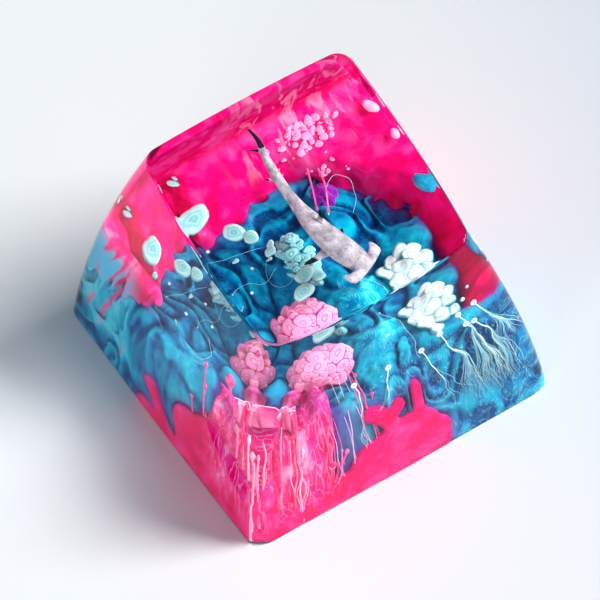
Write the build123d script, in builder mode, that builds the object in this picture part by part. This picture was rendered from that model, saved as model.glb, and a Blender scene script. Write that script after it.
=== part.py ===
"""A one-unit keycap cast in clear resin: a tall sculpted form with a dished, tilted top, a small
hammerhead shark and blooms of teal, magenta and pale ink set inside it, and a cross socket below.

Millimetres and degrees. +Z is up, the front of the key faces -Y, and the origin is in the middle
of the base plane.
"""

import math
import os

from build123d import *

# Outer form: a base, a waist halfway up and a tilted top, each a square with slightly bowed sides
base_side = 18.3
base_bow = 0.05
base_corner_r = 0.75
waist_width = 16.1
waist_depth = 15.75
waist_bow = 0.13
waist_corner_r = 0.75
top_side = 12.1
top_bow = 0.25
top_corner_r = 0.95
top_height = 14.1
top_shift = -0.5
top_tilt = 14.6
dish_r = 50.0
dish_depth = 0.73
rim_r = 0.15

# Underside: a square cavity, with its walls at the mouth and at the ceiling, and a round stem whose
# cross socket takes a standard switch
mouth_wall = 1.55
ceiling_wall = 1.2
cavity_depth = 5.2
cavity_corner_r = 1.0
stem_d = 5.5
stem_root_r = 0.4
stem_recess = 0.9
socket_arm = 4.1
socket_slot_x = 1.2
socket_slot_y = 1.35
socket_depth = 4.0

# Room for ink: clear resin left at every outside face, clear resin left below the top's middle,
# and the thickness of the bed of ink over the cavity
clear_skin = 0.35
clear_top = 3.9
bed_thickness = 0.9

# Bank of magenta ink along the back and right walls, round a pool with a flared edge, rising to the
# back wall, with a thin sheet of ink up that wall
bank_rise = 1.8
bank_left = -4.6
bank_front = -5.0
rear_bank_y = 3.5
rear_slope_y = 5.0
rear_rise = 1.3
pool_x = -1.0
pool_y = -2.5
pool_r = 6.5
pool_flare = 0.9
sheet_rise = 6.0
sheet_thickness = 0.45
sheet_width = 9.6

# Lobes of magenta ink in the front and left walls: two ends, each a place along the wall and a
# height, and a radius
lobe_reach = 2.2
front_lobes = (
    ((-3.0, 0.3), (1.4, 0.3), 1.5),
    ((-1.4, 1.6), (1.0, 2.2), 1.5),
    ((-0.3, 3.6), (-1.4, 5.0), 0.42),
    ((-0.4, 4.3), (0.2, 4.7), 0.4),
    ((1.4, 2.5), (1.35, 5.3), 0.3),
    ((2.1, 0.8), (2.2, 1.4), 0.9),
)
left_lobes = (
    ((-7.0, 2.0), (-4.6, 2.9), 2.3),
    ((-3.0, 1.2), (-2.4, 2.6), 1.5),
    ((-0.8, 0.2), (1.3, 2.5), 0.5),
    ((-6.0, 0.1), (1.6, 0.1), 0.8),
)

# Fall of magenta ink at the rear of the left wall, from its front to its low rear end
fall_front = 2.6
fall_low = 4.2
fall_height = 6.4

# Fluted column of magenta ink in the near corner
column_x = -6.4
column_y = -6.6
column_r = 3.1
column_top = 6.9
flute_count = 14
flute_r = 0.6
flute_step = 0.45

# Grooves between the folds of teal ink in the front and left walls: places along each wall
groove_r = 0.9
groove_depth = 0.3
groove_lean = 12.0
front_grooves = (3.6, 5.3, 7.0)
left_grooves = (0.4, 2.0, 3.7)

# Blooms of ink: x, y, rise of the crown above the bed, radius, depth from crown to widest ring
magenta_blooms = (
    (-2.9, -4.0, 1.2, 1.9, 0.8),
    (-6.0, 6.4, 1.9, 1.6, 1.2),
)
teal_blooms = (
    (-4.6, 0.8, 1.0, 2.4, 0.9),
    (2.0, 1.0, 1.3, 2.3, 1.1),
    (0.5, -3.4, 1.2, 2.2, 1.0),
    (5.4, -2.4, 0.9, 2.0, 0.8),
    (-5.5, -3.0, 0.7, 1.8, 0.6),
)
pale_blooms = (
    (-4.6, 4.3, 2.35, 0.8, 0.6),
    (-3.1, 2.6, 2.05, 0.6, 0.45),
    (-0.75, -0.2, 1.6, 1.1, 0.9),
    (-1.5, -2.0, 1.9, 0.6, 0.5),
    (3.6, -3.7, 1.45, 1.1, 0.8),
    (4.5, -3.7, 1.35, 0.8, 0.6),
    (-2.75, -3.95, 2.0, 1.6, 1.2),
    (3.6, 5.75, 2.6, 1.35, 0.7),
)
pale_stalk_r = 0.3

# Profile of a bloom's crown: shares of its radius and of its depth, down to its neck
crown_profile = ((0.4, 0.0), (0.8, 0.3), (1.0, 1.0))
neck_share = 1.8

# Shark: lies parallel to the top, shark_depth below it, rolled towards its left side
shark_length = 8.55
shark_depth = 2.55
shark_roll = 25.0
shark_half_width = 0.85
shark_half_height = 0.55
shark_flats = 12
hammer_width = 3.2
hammer_length = 0.8
hammer_thickness = 0.36
hammer_corner_r = 0.25
fin_thickness = 0.16

# Control points of the shark's spine from its tail to its nose, in shares of its length
shark_spine = ((0.0, 0.48), (-0.041, 0.14), (-0.012, -0.187), (0.158, -0.52))

# Sections of the shark's body: share of its spine, then shares of its half width and half height
shark_sections = (
    (0.00, 0.10, 0.25),
    (0.15, 0.26, 0.40),
    (0.40, 0.38, 0.62),
    (0.55, 0.66, 0.88),
    (0.72, 0.92, 1.00),
    (0.85, 1.00, 0.85),
    (0.95, 0.78, 0.55),
)

# Fins of the shark: share of its spine, chord at the root, sweep of the tip and reach of the tip,
# with the tip's chord as a share of the root's, the share of the reach at its trailing corner and
# the droop of the paired fins
fin_tip_chord = 0.25
fin_tip_drop = 0.9
fin_droop = 25.0
pectoral_fin = (0.76, 0.95, 0.35, 2.00)
pelvic_fin = (0.22, 0.40, 0.20, 0.65)
dorsal_fin = (0.62, 0.95, 0.40, 1.25)
upper_tail = (0.03, 0.40, 1.15, 0.60)
lower_tail = (0.03, 0.40, 0.50, -0.40)


def tilted_plane(share):
    """The plane that lies the given share of the way from the base to the top."""
    tilt = math.radians(top_tilt * share)
    return Plane(
        origin=(0, top_shift * share, top_height * share),
        x_dir=(1, 0, 0),
        z_dir=(0, -math.sin(tilt), math.cos(tilt)),
    )


top_plane = tilted_plane(1)
waist_plane = tilted_plane(0.5)
wall_slope = (base_side - waist_depth) / top_height
cavity_side = base_side - 2 * mouth_wall
cavity_draft = math.degrees(math.atan(wall_slope + (ceiling_wall - mouth_wall) / cavity_depth))
bed_floor = cavity_depth + clear_skin
bed_top = bed_floor + bed_thickness


def bowed_section(plane, width, depth, bow, corner_r):
    """A rectangle on the given plane whose sides bow outward, with rounded corners."""
    half_w = width / 2
    half_d = depth / 2
    with BuildSketch(plane) as section:
        with BuildLine():
            ThreePointArc((-half_w, -half_d), (0, -half_d - bow), (half_w, -half_d))
            ThreePointArc((half_w, -half_d), (half_w + bow, 0), (half_w, half_d))
            ThreePointArc((half_w, half_d), (0, half_d + bow), (-half_w, half_d))
            ThreePointArc((-half_w, half_d), (-half_w - bow, 0), (-half_w, -half_d))
        make_face()
        fillet(section.vertices(), corner_r)
    return section.sketch


def bloom_group(blooms, stalk_r=None):
    """Rounded blooms of ink standing on the bed's floor, straight-sided where no stalk is given."""
    with BuildPart() as group:
        for x, y, rise, radius, depth in blooms:
            crown = bed_top + rise
            rings = [(radius * out, crown - depth * down) for out, down in crown_profile]
            if stalk_r:
                rings.append((stalk_r, crown - depth * neck_share))
            foot = (rings[-1][0], bed_floor)
            with BuildSketch(Plane(origin=(x, y, 0), x_dir=(1, 0, 0), z_dir=(0, -1, 0))):
                with BuildLine():
                    Polyline((0, crown), *rings, foot, (0, bed_floor), close=True)
                make_face()
            revolve(axis=Axis((x, y, 0), (0, 0, 1)))
    return group.part


def wall_lobes(plane, lobes):
    """Round-ended lobes of ink that reach into a wall from the given plane."""
    with BuildPart() as group:
        with BuildSketch(plane):
            for start, end, radius in lobes:
                first = Vector(*start)
                along = Vector(*end) - first
                lean = math.degrees(math.atan2(along.Y, along.X))
                with Locations(first + along / 2):
                    SlotCenterToCenter(along.length, 2 * radius, rotation=lean)
        extrude(amount=lobe_reach, both=True)
    return group.part


def groove(plane, place, outward):
    """A long round bar that cuts a shallow groove down a sloping wall of ink from outside it."""
    start = plane.from_local_coords((place, 0, outward * (groove_r - groove_depth - clear_skin)))
    lean = math.radians(groove_lean)
    axis = plane.y_dir * math.cos(lean) - plane.x_dir * math.sin(lean)
    axis -= plane.z_dir * (outward * math.tan(math.radians(room_taper)))
    with BuildPart() as bar:
        with BuildSketch(Plane(origin=start, z_dir=axis)):
            Circle(groove_r)
        extrude(amount=top_height, both=True)
    return bar.part


# The space that ink may fill: a tapered block inside the clear skin, less the room round the cavity
room_side = base_side - 2 * clear_skin
room_taper = math.degrees(math.atan(wall_slope + clear_skin / top_height))
with BuildPart() as ink_room:
    with BuildSketch(Plane.XY.offset(clear_skin)):
        Rectangle(room_side, room_side)
    extrude(amount=top_height - clear_top - clear_skin, taper=room_taper)
    with BuildSketch(Plane.XY):
        Rectangle(cavity_side + 2 * clear_skin, cavity_side + 2 * clear_skin)
    extrude(amount=bed_floor, taper=cavity_draft, mode=Mode.SUBTRACT)

# Shark: a bent body of round sections, a hammer-shaped head and plate fins
shark_plane = top_plane.offset(-shark_depth)


def back_plane(share, droop=0.0):
    """The plane of the shark's back at a share of its spine: x forward, y to its left, drooped."""
    start, pull, push, end = [Vector(x, y) * shark_length for x, y in shark_spine]
    rest = 1 - share
    spot = start * rest**3 + pull * (3 * rest**2 * share) + push * (3 * rest * share**2) + end * share**3
    ahead = (pull - start) * rest**2 + (push - pull) * (2 * rest * share) + (end - push) * share**2
    level = Plane(
        origin=shark_plane.from_local_coords(spot),
        x_dir=shark_plane.x_dir * ahead.X + shark_plane.y_dir * ahead.Y,
        z_dir=shark_plane.z_dir,
    )
    roll = math.radians(shark_roll + droop)
    return Plane(
        origin=level.origin,
        x_dir=level.x_dir,
        z_dir=level.z_dir * math.cos(roll) + level.y_dir * math.sin(roll),
    )


def spine_plane(share):
    """The upright plane along the shark's spine at a share of it: x forward, y up."""
    back = back_plane(share)
    return Plane(origin=back.origin, x_dir=back.x_dir, z_dir=-back.y_dir)


def body_section(share, width_share, height_share):
    """One oval section of the shark's body, cut in flats, square to its bent axis."""
    back = back_plane(share)
    angles = [2 * math.pi * step / shark_flats for step in range(shark_flats)]
    half_width = shark_half_width * width_share
    half_height = shark_half_height * height_share
    corners = [(half_width * math.cos(angle), half_height * math.sin(angle)) for angle in angles]
    with BuildSketch(Plane(origin=back.origin, x_dir=back.y_dir, z_dir=back.x_dir)) as section:
        with BuildLine():
            Polyline(*corners, close=True)
        make_face()
    return section.sketch


def plate_fin(plane, chord, sweep, reach):
    """A swept fin on the given plane, from the body's axis out to its reach."""
    with BuildPart() as fin:
        with BuildSketch(plane):
            with BuildLine():
                Polyline(
                    (chord / 2, 0),
                    (-sweep, reach),
                    (-sweep - chord * fin_tip_chord, reach * fin_tip_drop),
                    (-chord / 2, 0),
                    close=True,
                )
            make_face()
        extrude(amount=fin_thickness / 2, both=True)
    return fin.part


fins = [plate_fin(spine_plane(place), *shape) for place, *shape in (dorsal_fin, upper_tail, lower_tail)]
for place, chord, sweep, reach in (pectoral_fin, pelvic_fin):
    fins += [
        plate_fin(back_plane(place, side * fin_droop), chord, sweep, side * reach) for side in (-1, 1)
    ]

with BuildPart() as shark_figure:
    loft(sections=[body_section(*place) for place in shark_sections], ruled=True)
    with BuildSketch(back_plane(1 - hammer_length / shark_length / 2)):
        RectangleRounded(hammer_length, hammer_width, hammer_corner_r)
    extrude(amount=hammer_thickness / 2, both=True)
    add(fins)

# Pale ink: round heads on stalks
with BuildPart() as pale_ink:
    add(bloom_group(pale_blooms, pale_stalk_r))
    add(ink_room.part, mode=Mode.INTERSECT)

# Planes of the front and left walls at the base: x along the wall, y up, z out of the front wall and
# into the left one
front_plane = Plane(origin=(0, -base_side / 2, 0), x_dir=(1, 0, 0), z_dir=(0, -1, 0))
left_plane = Plane(origin=(-base_side / 2, 0, 0), x_dir=(0, 1, 0), z_dir=(1, 0, 0))

# Magenta ink: the banks round the pool, the sheet, lobes, fall, column and blooms, clear of the pale
bank_top = bed_top + bank_rise
back_y = base_side / 2
back_waist = waist_plane.from_local_coords((0, waist_depth / 2))
back_top = top_plane.from_local_coords((0, top_side / 2))
back_line = (back_top - back_waist).normalized() * sheet_rise
sheet_foot = Vector(back_waist.Y - clear_skin, back_waist.Z)
sheet_head = sheet_foot + Vector(back_line.Y, back_line.Z)
sheet_inset = Vector(sheet_thickness, 0)
with BuildPart() as magenta_ink:
    with BuildSketch(Plane.YZ.offset(bank_left)):
        with BuildLine():
            Polyline(
                (rear_bank_y, 0),
                (back_y, 0),
                (back_y, bank_top + rear_rise),
                (rear_slope_y, bank_top),
                (rear_bank_y, bank_top),
                close=True,
            )
        make_face()
    extrude(amount=base_side)
    with Locations((bank_left, bank_front, bed_floor)):
        Box(base_side, base_side, bank_top - bed_floor, align=Align.MIN)
    with Locations((pool_x, pool_y, bed_floor)):
        Cone(
            pool_r,
            pool_r + pool_flare,
            bank_top - bed_floor,
            align=(Align.CENTER, Align.CENTER, Align.MIN),
            mode=Mode.SUBTRACT,
        )
    add(wall_lobes(front_plane, front_lobes))
    add(wall_lobes(left_plane, left_lobes))
    with BuildSketch(left_plane):
        with BuildLine():
            Polyline(
                (fall_front, bank_top),
                (back_y, bank_top),
                (back_y, fall_low),
                (fall_front, fall_height),
                close=True,
            )
        make_face()
    extrude(amount=lobe_reach)
    with Locations((column_x, column_y, 0)):
        Cylinder(column_r, column_top - flute_step, align=(Align.CENTER, Align.CENTER, Align.MIN))
        with PolarLocations(column_r - flute_r / 2, flute_count // 2):
            Cylinder(flute_r, column_top, align=(Align.CENTER, Align.CENTER, Align.MIN))
        with PolarLocations(column_r - flute_r / 2, flute_count // 2, start_angle=360 / flute_count):
            Cylinder(flute_r, column_top + flute_step, align=(Align.CENTER, Align.CENTER, Align.MIN))
    add(bloom_group(magenta_blooms))
    add(ink_room.part, mode=Mode.INTERSECT)
    with BuildSketch(Plane.YZ.offset(-sheet_width / 2)):
        with BuildLine():
            Polyline(sheet_foot, sheet_head, sheet_head - sheet_inset, sheet_foot - sheet_inset, close=True)
        make_face()
    extrude(amount=sheet_width)
    add(pale_ink.part, mode=Mode.SUBTRACT)

# Teal ink: the bed over the cavity and the rest of the walls, with mounds and grooves, clear of the
# others
grooves = [groove(front_plane, place, 1) for place in front_grooves]
grooves += [groove(left_plane, place, -1) for place in left_grooves]
with BuildPart() as teal_ink:
    Box(base_side, base_side, bed_top, align=(Align.CENTER, Align.CENTER, Align.MIN))
    add(bloom_group(teal_blooms))
    add(ink_room.part, mode=Mode.INTERSECT)
    add(grooves, mode=Mode.SUBTRACT)
    add(pale_ink.part, mode=Mode.SUBTRACT)
    add(magenta_ink.part, mode=Mode.SUBTRACT)

# Clear resin: the outer form with its cavity, stem and socket, cast round everything inside it
outline = [
    bowed_section(Plane.XY, base_side, base_side, base_bow, base_corner_r),
    bowed_section(waist_plane, waist_width, waist_depth, waist_bow, waist_corner_r),
    bowed_section(top_plane, top_side, top_side, top_bow, top_corner_r),
]
with BuildPart() as resin_body:
    loft(sections=outline)
    with Locations(top_plane.offset(dish_r - dish_depth).origin):
        Sphere(dish_r, mode=Mode.SUBTRACT)
    fillet(resin_body.faces().filter_by(GeomType.SPHERE).edges(), rim_r)
    with BuildSketch(Plane.XY):
        RectangleRounded(cavity_side, cavity_side, cavity_corner_r)
    extrude(amount=cavity_depth, taper=cavity_draft, mode=Mode.SUBTRACT)
    with BuildSketch(Plane.XY.offset(stem_recess)):
        Circle(stem_d / 2)
    extrude(amount=cavity_depth - stem_recess)
    ceiling_edges = resin_body.edges().filter_by_position(Axis.Z, cavity_depth, cavity_depth)
    fillet(ceiling_edges.filter_by(GeomType.CIRCLE).sort_by(SortBy.RADIUS)[-1], stem_root_r)
    with BuildSketch(Plane.XY.offset(stem_recess)):
        Rectangle(socket_arm, socket_slot_x)
        Rectangle(socket_slot_y, socket_arm)
    extrude(amount=socket_depth, mode=Mode.SUBTRACT)
    for inner in (shark_figure, pale_ink, magenta_ink, teal_ink):
        add(inner.part, mode=Mode.SUBTRACT)

os.makedirs("parts", exist_ok=True)
resin_body.part.label = "resin_body"
export_step(resin_body.part, "parts/resin_body.step")
shark_figure.part.label = "shark_figure"
export_step(shark_figure.part, "parts/shark_figure.step")
teal_ink.part.label = "teal_ink"
export_step(teal_ink.part, "parts/teal_ink.step")
magenta_ink.part.label = "magenta_ink"
export_step(magenta_ink.part, "parts/magenta_ink.step")
pale_ink.part.label = "pale_ink"
export_step(pale_ink.part, "parts/pale_ink.step")
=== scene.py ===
import math

import bpy
import numpy as np
from mathutils import Matrix, Vector


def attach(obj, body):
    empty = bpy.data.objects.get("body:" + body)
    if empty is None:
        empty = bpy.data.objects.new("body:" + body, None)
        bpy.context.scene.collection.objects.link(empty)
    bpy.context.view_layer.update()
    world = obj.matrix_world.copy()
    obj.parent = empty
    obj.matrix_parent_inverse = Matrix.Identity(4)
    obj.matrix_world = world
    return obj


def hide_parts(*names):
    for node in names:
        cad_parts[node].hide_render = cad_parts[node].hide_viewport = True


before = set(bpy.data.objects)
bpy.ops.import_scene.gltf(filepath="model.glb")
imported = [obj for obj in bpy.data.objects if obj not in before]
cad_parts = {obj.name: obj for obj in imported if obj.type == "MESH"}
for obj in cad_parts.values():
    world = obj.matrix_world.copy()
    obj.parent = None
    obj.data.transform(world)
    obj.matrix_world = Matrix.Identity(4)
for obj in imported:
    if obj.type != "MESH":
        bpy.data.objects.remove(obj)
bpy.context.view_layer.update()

# All sizes below are millimetres and degrees, in the frame of the part
MM = 0.001

# Outer form of the resin: base, waist and tilted top, each with bowed sides and round corners
base_side = 18.3
base_bow = 0.05
base_corner_r = 0.75
waist_width = 16.1
waist_depth = 15.75
waist_bow = 0.13
waist_corner_r = 0.75
top_side = 12.1
top_bow = 0.25
top_corner_r = 0.95
top_height = 14.1
top_shift = -0.5
top_tilt = 14.6
dish_r = 50.0
dish_depth = 0.73
rim_r = 0.17
foot_r = 0.08

# Underside of the resin: cavity, stem and cross socket
mouth_wall = 1.55
ceiling_wall = 1.2
cavity_depth = 5.2
cavity_corner_r = 1.0
cavity_least_r = 0.15
flat_bow = 0.001
stem_d = 5.5
stem_root_r = 0.4
stem_recess = 0.9
socket_arm = 4.1
socket_slot_x = 1.2
socket_slot_y = 1.35
socket_depth = 4.0
stem_edge_r = 0.04
ring_close = 0.02
cavity_draft = (base_side - waist_depth) / top_height + (ceiling_wall - mouth_wall) / cavity_depth

# Camera
cam_azimuth = -30.77
cam_elevation = 55.45
cam_roll = -2.59
cam_distance = 300.0
cam_target = (0.0, 0.0, 6.0)
cam_slide = (-0.28, -0.947)
cam_lens = 349.3
cam_sensor = 36.0

# Stage: half the floor's side, the point the lamps shine at, and the sky
floor_half = 1500.0
lamp_target = (0, 0, 5)
sky_colour = (0.72, 0.86, 1.0)
sky_strength = 0.2

# Points along a side of the resin and round a corner of it
side_points = 24
corner_points = 10


def mesh_object(name, points, faces, material):
    """A smooth-shaded mesh object from points in millimetres."""
    mesh = bpy.data.meshes.new(name)
    mesh.from_pydata([tuple(p) for p in np.asarray(points) * MM], [], [tuple(f) for f in faces])
    mesh.validate()
    mesh.shade_smooth()
    piece = bpy.data.objects.new(name, mesh)
    bpy.context.scene.collection.objects.link(piece)
    mesh.materials.append(material)
    return piece


def bowed_outline(width, depth, bow, corner_r):
    """Points round a rectangle with bowed sides and rounded corners, from its front left corner on."""
    half_w = width / 2
    half_d = depth / 2
    front_r = (half_w**2 + bow**2) / (2 * bow)
    side_r = (half_d**2 + bow**2) / (2 * bow)
    front_y = half_d + bow - front_r
    side_x = half_w + bow - side_r
    x = half_w - corner_r
    y = half_d - corner_r
    for _ in range(20):
        x = side_x + math.sqrt((side_r - corner_r) ** 2 - y**2)
        y = front_y + math.sqrt((front_r - corner_r) ** 2 - x**2)
    a = math.atan2(-y + front_y, x)
    b = math.atan2(-y, x - side_x)
    arcs = (
        (0, -front_y, front_r, -math.pi - a, a, side_points),
        (x, -y, corner_r, a, b, corner_points),
        (side_x, 0, side_r, b, -b, side_points),
        (x, y, corner_r, -b, -a, corner_points),
    )
    loops = []
    for side in (1, -1):
        for cx, cy, radius, start, end, count in arcs:
            angle = np.linspace(start, end, count, endpoint=False)
            loops.append(side * np.stack([cx + radius * np.cos(angle), cy + radius * np.sin(angle)], 1))
    return np.concatenate(loops)


def lay(outline, share):
    """An outline laid on the plane that is the given share of the way from the base to the top."""
    tilt = math.radians(top_tilt * share)
    x, y = outline.T
    return np.stack(
        [x, top_shift * share + y * math.cos(tilt), top_height * share + y * math.sin(tilt)], 1
    )


base_ring = lay(bowed_outline(base_side, base_side, base_bow, base_corner_r), 0)
waist_ring = lay(bowed_outline(waist_width, waist_depth, waist_bow, waist_corner_r), 0.5)
top_ring = lay(bowed_outline(top_side, top_side, top_bow, top_corner_r), 1)


def wall(share):
    """The outer wall at a share of the height, one value or one for each point of the outline."""
    s = np.reshape(share, (-1, 1))
    return base_ring * (1 - s) * (1 - 2 * s) + waist_ring * 4 * s * (1 - s) + top_ring * s * (2 * s - 1)


def flat_ring(outline, z):
    return np.column_stack([outline, np.full(len(outline), z)])


def unit(vectors):
    return vectors / np.linalg.norm(vectors, axis=-1, keepdims=True)


def rounded(start, corner, end, steps):
    """Rings that round a corner between two rings."""
    return [
        start * (1 - t) ** 2 + corner * 2 * t * (1 - t) + end * t**2 for t in np.linspace(0, 1, steps)
    ]


def dish_and_walls():
    """The dish's lowest point, and rings from there over the rim and down the walls to the foot."""
    tilt = math.radians(top_tilt)
    up = np.array([0, -math.sin(tilt), math.cos(tilt)])
    crown = np.array([0, top_shift, top_height])
    centre = crown + up * (dish_r - dish_depth)
    pole = centre - up * dish_r
    low = np.full(len(base_ring), 0.7)
    high = np.full(len(base_ring), 1.1)
    for _ in range(40):
        mid = (low + high) / 2
        outside = np.linalg.norm(wall(mid) - centre, axis=1) > dish_r
        low = np.where(outside, mid, low)
        high = np.where(outside, high, mid)
    edge = wall(low)
    rise = np.linalg.norm(wall(low) - wall(low - 0.01), axis=1) / 0.01
    shoulder_share = low - rim_r / rise
    inward = pole - edge
    radial = unit(edge - centre)
    inward = unit(inward - radial * np.sum(inward * radial, 1, keepdims=True))
    lip = centre + dish_r * unit(edge + inward * rim_r - centre)
    shares = [*np.linspace(0.04, 1, 26)[:-1], 0.99]
    rings = [centre + dish_r * unit(pole + (lip - pole) * share - centre) for share in shares]
    rings += rounded(lip, edge, wall(shoulder_share), 6)
    rings += [wall(shoulder_share * share) for share in (0.995, *np.linspace(0.97, 0.012, 44), 0.008)]
    foot_side = base_side - 2 * foot_r
    foot = flat_ring(bowed_outline(foot_side, foot_side, base_bow, base_corner_r), 0)
    return pole, rings + rounded(wall(foot_r / top_height), base_ring, foot, 5)


def cavity_ring(z, inset=0.0):
    side = base_side - 2 * (mouth_wall + z * cavity_draft + inset)
    corner_r = max(cavity_corner_r - z * cavity_draft - inset, cavity_least_r)
    return flat_ring(bowed_outline(side, side, flat_bow, corner_r), z)


def spokes():
    """Directions round the stem, one for each point of the outline, with one at each socket corner."""
    count = len(base_ring)
    arm, half_x, half_y = socket_arm / 2, socket_slot_x / 2, socket_slot_y / 2
    keys = [(arm, half_x), (half_y, half_x), (half_y, arm)]
    keys = [math.atan2(y * sy, x * sx) for x, y in keys for sx in (-1, 1) for sy in (-1, 1)]
    start = -0.74 * math.pi
    keys = np.sort((np.array(keys) - start) % (2 * math.pi))
    stops = np.round(keys / (2 * math.pi) * count)
    turn = start + np.interp(np.arange(count), [0, *stops, count], [0, *keys, 2 * math.pi])
    spoke = np.stack([np.cos(turn), np.sin(turn)], 1)
    across, along = np.maximum(abs(spoke), 1e-9).T
    in_x = np.minimum(arm / across, half_x / along)
    in_y = np.minimum(half_y / across, arm / along)
    return spoke, spoke * np.maximum(in_x, in_y)[:, None]


def resin_rings():
    """The resin's skin as one chain of rings, from the middle of the dish to the socket's floor."""
    pole, rings = dish_and_walls()
    rings += [cavity_ring(0, -0.1), cavity_ring(0, -ring_close)]
    levels = (0.0, ring_close, *np.linspace(0.2, cavity_depth - 0.1, 10), cavity_depth - ring_close)
    rings += [cavity_ring(z) for z in levels]
    rings += [cavity_ring(cavity_depth), cavity_ring(cavity_depth, 0.05)]
    spoke, cross = spokes()

    def circle(radius, z):
        return flat_ring(spoke * radius, z)

    stem_r = stem_d / 2
    root = stem_r + stem_root_r
    below = cavity_depth - stem_root_r
    end = stem_recess
    rings += [circle(root + 0.05, cavity_depth)]
    rings += rounded(circle(root, cavity_depth), circle(stem_r, cavity_depth), circle(stem_r, below), 6)
    rings += [circle(stem_r, z) for z in (below - 0.05, 3.0, end + 0.05)]
    tip = circle(stem_r, end)
    rings += rounded(circle(stem_r, end + stem_edge_r), tip, circle(stem_r - stem_edge_r, end), 4)
    floor = end + socket_depth
    rings += [flat_ring(cross * 1.01, end), flat_ring(cross, end)]
    rings += [flat_ring(cross, z) for z in (end + ring_close, floor - ring_close, floor)]
    return pole, rings, np.array([0, 0, floor])


def skin(first, rings, last):
    """Points and faces of a closed skin through rings of equal length, with a point at each end."""
    count = len(rings[0])
    points = np.concatenate([[first], *rings, [last]])
    here = np.arange(count)
    after = np.roll(here, -1)
    faces = [(0, 1 + a, 1 + b) for a, b in zip(here, after)]
    for row in range(len(rings) - 1):
        i = 1 + row * count
        j = i + count
        faces += [(i + a, j + a, j + b, i + b) for a, b in zip(here, after)]
    end = len(points) - 1
    i = end - count
    faces += [(end, i + b, i + a) for a, b in zip(here, after)]
    return points, faces


def noise(points, size, seed):
    """Smooth seeded value noise in the range -1 to 1, with features about as large as size."""
    period = 24
    lattice = np.random.default_rng(seed).uniform(-1, 1, (period,) * 3).astype(np.float32)
    scaled = np.asarray(points, np.float32) / np.asarray(size, np.float32)
    cell = np.floor(scaled)
    part = scaled - cell
    part = part * part * part * (part * (part * 6 - 15) + 10)
    low = cell.astype(np.int32) % period
    high = (low + 1) % period
    total = np.zeros(len(scaled), np.float32)
    for corner in range(8):
        picks = [(corner >> axis) & 1 for axis in range(3)]
        spots = [high[:, axis] if pick else low[:, axis] for axis, pick in enumerate(picks)]
        weights = [part[:, axis] if pick else 1 - part[:, axis] for axis, pick in enumerate(picks)]
        total += lattice[tuple(spots)] * weights[0] * weights[1] * weights[2]
    return total


def warped(points, size, reach, seed):
    """Points pushed about by smooth noise."""
    return points + reach * np.stack([noise(points, size, seed + axis) for axis in range(3)], 1)


def soft_min(a, b, blend):
    """The lesser of two fields, with a rounded joint."""
    share = np.clip(0.5 + 0.5 * (b - a) / blend, 0, 1)
    return b + (a - b) * share - blend * share * (1 - share)


def soft_max(a, b, blend):
    return -soft_min(-a, -b, blend)


def ramp(value, start, end):
    """A smooth step from 0 at start to 1 at end."""
    share = np.clip((value - start) / (end - start), 0, 1)
    return share * share * (3 - 2 * share)


def ellipsoid(points, centre, radii):
    """About the distance from an ellipsoid's skin, negative inside it."""
    radii = np.asarray(radii)
    offset = (points - np.asarray(centre)) / radii
    size = np.linalg.norm(offset, axis=1)
    return (size - 1) * radii.min()


def capsule(points, start, end, radius):
    """The distance from a round bar between two points of the same dimension."""
    start = np.asarray(start, float)
    along = np.asarray(end, float) - start
    share = np.clip((points - start) @ along / max(along @ along, 1e-9), 0, 1)
    return np.linalg.norm(points - start - share[:, None] * along, axis=1) - radius


def surface(field, low, step):
    """Points and four-sided faces of the surface where a field on a regular grid is zero."""
    inside = field < 0
    size = np.array(field.shape)
    corners = [np.array([(n >> axis) & 1 for axis in range(3)]) for n in range(8)]
    count = np.zeros(size - 1, np.int8)
    for i, j, k in corners:
        count += inside[i : size[0] - 1 + i, j : size[1] - 1 + j, k : size[2] - 1 + k]
    active = (count > 0) & (count < len(corners))
    cells = np.argwhere(active)
    index = np.zeros(active.shape, np.int64)
    index[active] = np.arange(len(cells))
    total = np.zeros((len(cells), 3))
    hits = np.zeros(len(cells))
    for axis in range(3):
        along = np.eye(3, dtype=int)[axis]
        for corner in corners:
            if corner[axis]:
                continue
            first = field[tuple((cells + corner).T)]
            second = field[tuple((cells + corner + along).T)]
            crosses = (first < 0) != (second < 0)
            share = first / np.where(crosses, first - second, 1)
            total += np.where(crosses[:, None], corner + share[:, None] * along, 0)
            hits += crosses
    points = low + (cells + total / hits[:, None]) * step
    faces = []
    for axis in range(3):
        lookup = np.moveaxis(index, axis, 0)
        before = np.moveaxis(inside, axis, 0)[:-1, 1:-1, 1:-1]
        after = np.moveaxis(inside, axis, 0)[1:, 1:-1, 1:-1]
        for leaving in (True, False):
            a, b, c = np.argwhere((before != after) & (before == leaving)).T
            quad = [lookup[a, b, c], lookup[a, b + 1, c], lookup[a, b + 1, c + 1], lookup[a, b, c + 1]]
            faces.append(np.stack(quad if leaving == (axis != 1) else quad[::-1], 1))
    return points, np.concatenate(faces)


def field_mesh(field, low, high, step):
    """Points and faces of a field's zero surface inside a box, sampled at a step."""
    low = np.asarray(low, float)
    counts = np.ceil((np.asarray(high) - low) / step).astype(int) + 1
    axes = [low[axis] + step * np.arange(counts[axis]) for axis in range(3)]
    points = np.stack(np.meshgrid(*axes, indexing="ij"), -1).reshape(-1, 3).astype(np.float32)
    return surface(field(points).reshape(counts), low, step)


# Room for ink: the clear skin kept at the outer walls, over the base and round the cavity
ink_skin = 0.06
back_skin = 0.015
floor_skin = 0.04
cavity_skin = 0.3
room_corner = 1.1
front_middle = side_points // 2
right_middle = front_middle + side_points + corner_points
back_middle = right_middle + side_points + corner_points


def through(z, heights, values):
    """The smooth curve through three values at three heights."""
    total = 0
    for spot, value in enumerate(values):
        first, second = [height for other, height in enumerate(heights) if other != spot]
        height = heights[spot]
        total = total + value * (z - first) * (z - second) / (height - first) / (height - second)
    return total


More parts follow.
